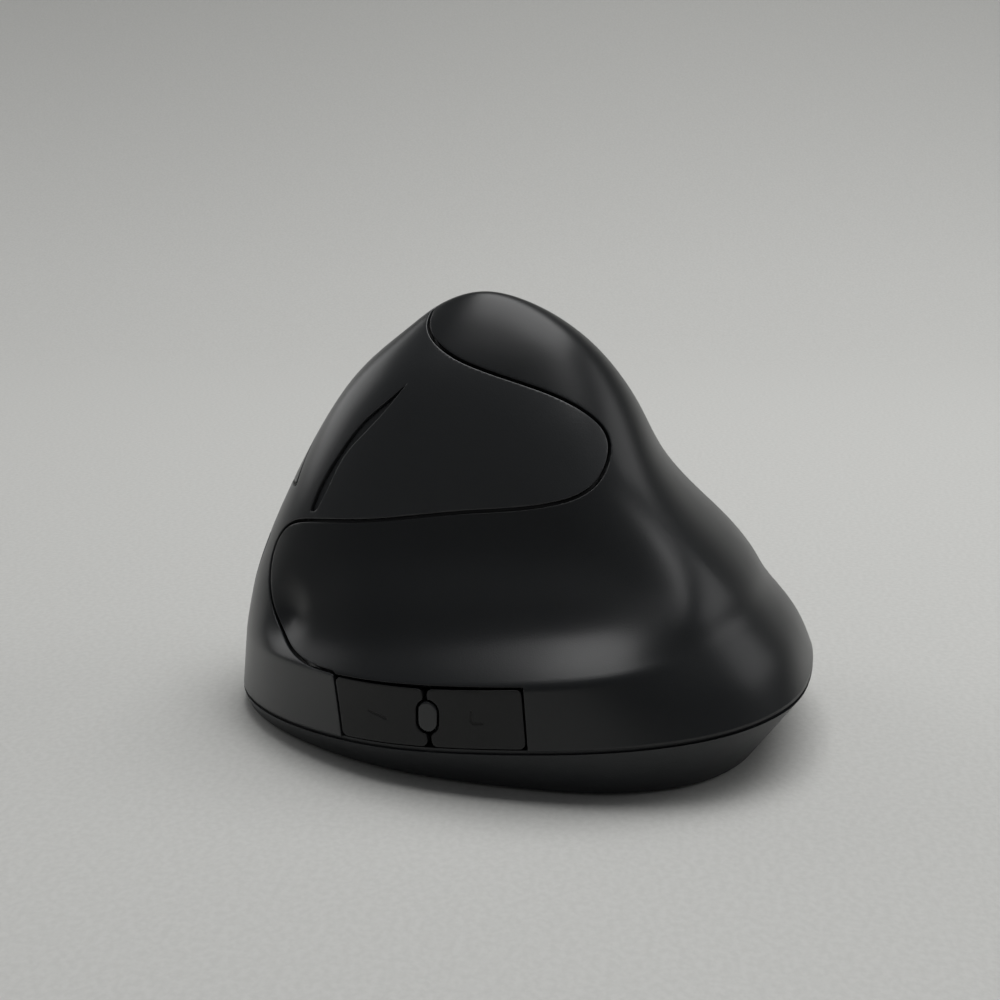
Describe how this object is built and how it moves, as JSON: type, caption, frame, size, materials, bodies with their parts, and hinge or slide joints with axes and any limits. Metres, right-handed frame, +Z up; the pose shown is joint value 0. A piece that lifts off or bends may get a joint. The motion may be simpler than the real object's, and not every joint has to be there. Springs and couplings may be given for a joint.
{
  "type": "vertical ergonomic computer mouse",
  "caption": "Right-handed vertical wireless mouse with a thumb scoop, wrapped front cover, two main buttons, scroll wheel, thumb buttons and a tray base on glide feet.",
  "frame": {"origin": "on the desk, under the middle of the body's length and width", "axes": "+Y towards the nose, +X towards the finger side, -X towards the thumb side, +Z up"},
  "size_m": [0.079, 0.103, 0.075],
  "materials": {
    "front_cover": "satin black injection-moulded plastic with a fine grain",
    "grip_shell": "soft-touch black coating",
    "base_shell": "matte black plastic",
    "left_button": "satin black plastic",
    "right_button": "satin black plastic",
    "front_side_button": "satin black plastic",
    "rear_side_button": "satin black plastic",
    "side_indicator_lens": "smoked clear plastic",
    "indicator_strip": "smoked clear plastic",
    "scroll_wheel": "dark grey plastic",
    "scroll_tyre": "black rubber",
    "wheel_carrier": "natural white acetal",
    "wheel_encoder": "black plastic",
    "dpi_button": "satin dark grey plastic",
    "finger_board": "green solder mask",
    "finger_frame": "black plastic",
    "left_switch": "black plastic case with a light plunger",
    "right_switch": "black plastic case with a light plunger",
    "wheel_switch": "stamped steel cover",
    "dpi_switch": "stamped steel cover",
    "side_board": "green solder mask",
    "side_switches": "stamped steel cover",
    "main_board": "green solder mask",
    "optical_sensor": "black package",
    "sensor_lens": "clear moulded lens",
    "power_switch_body": "stamped steel case",
    "power_switch_knob": "grey plastic",
    "battery_cell": "plain wrapped steel can",
    "positive_contact": "nickel-plated spring steel",
    "negative_contact": "nickel-plated spring steel",
    "battery_door": "matte black plastic",
    "usb_receiver": "black cap with a steel plug sleeve",
    "front_foot": "low-friction slide film",
    "rear_foot": "low-friction slide film",
    "case_screws": "blackened steel",
    "board_screws": "zinc-plated steel"
  },
  "bodies": {
    "housing": {"front_cover": "front_cover", "grip_shell": "grip_shell", "base_shell": "base_shell", "side_indicator_lens": "side_indicator_lens", "indicator_strip": "indicator_strip", "finger_board": "finger_board", "finger_frame": "finger_frame", "left_switch": "left_switch", "right_switch": "right_switch", "wheel_switch": "wheel_switch", "dpi_switch": "dpi_switch", "side_board": "side_board", "side_switches": "side_switches", "main_board": "main_board", "optical_sensor": "optical_sensor", "sensor_lens": "sensor_lens", "power_switch_body": "power_switch_body", "battery_cell": "battery_cell", "positive_contact": "positive_contact", "negative_contact": "negative_contact", "usb_receiver": "usb_receiver", "front_foot": "front_foot", "rear_foot": "rear_foot", "case_screws": "case_screws", "board_screws": "board_screws"},
    "left_button": {"left_button": "left_button"},
    "right_button": {"right_button": "right_button"},
    "front_side_button": {"front_side_button": "front_side_button"},
    "rear_side_button": {"rear_side_button": "rear_side_button"},
    "carrier": {"wheel_carrier": "wheel_carrier", "wheel_encoder": "wheel_encoder"},
    "wheel": {"scroll_wheel": "scroll_wheel", "scroll_tyre": "scroll_tyre"},
    "dpi_button": {"dpi_button": "dpi_button"},
    "power_knob": {"power_switch_knob": "power_switch_knob"},
    "battery_door": {"battery_door": "battery_door"}
  },
  "joints": [
    {"name": "left_button_press", "type": "hinge", "parent": "housing", "child": "left_button", "pos_m": [0.0235, -0.0011, 0.0512], "axis": [-0.5456, 0.3577, 0.7578], "range_deg": [0, 0.6], "stiffness_Nm_per_rad": 1.5, "springref_deg": -0.57},
    {"name": "right_button_press", "type": "hinge", "parent": "housing", "child": "right_button", "pos_m": [0.035, -0.0044, 0.0315], "axis": [-0.3261, 0, 0.9453], "range_deg": [0, 0.5], "stiffness_Nm_per_rad": 1.8, "springref_deg": -0.57},
    {"name": "front_side_button_press", "type": "slide", "parent": "housing", "child": "front_side_button", "axis": [0.977, -0.213, 0], "range_m": [0, 0.0006], "stiffness_N_per_m": 900, "springref_m": -0.0005},
    {"name": "rear_side_button_press", "type": "slide", "parent": "housing", "child": "rear_side_button", "axis": [0.977, -0.213, 0], "range_m": [0, 0.0006], "stiffness_N_per_m": 900, "springref_m": -0.0005},
    {"name": "wheel_press", "type": "slide", "parent": "housing", "child": "carrier", "axis": [-0.8373, -0.3047, -0.454], "range_m": [0, 0.0005], "stiffness_N_per_m": 1500, "springref_m": -0.0005},
    {"name": "wheel_spin", "type": "hinge", "parent": "carrier", "child": "wheel", "pos_m": [0.02054, 0.02168, 0.03472], "axis": [-0.4266, -0.1553, 0.891], "continuous": true},
    {"name": "dpi_button_press", "type": "slide", "parent": "housing", "child": "dpi_button", "axis": [-0.8373, -0.3047, -0.454], "range_m": [0, 0.0005], "stiffness_N_per_m": 900, "springref_m": -0.0005},
    {"name": "power_switch_slide", "type": "slide", "parent": "housing", "child": "power_knob", "axis": [0, -1, 0], "range_m": [0, 0.003]},
    {"name": "battery_door_hinge", "type": "hinge", "parent": "housing", "child": "battery_door", "pos_m": [0.0156, 0.0226, 0.0024], "axis": [1, 0, 0], "range_deg": [0, 80]}
  ]
}
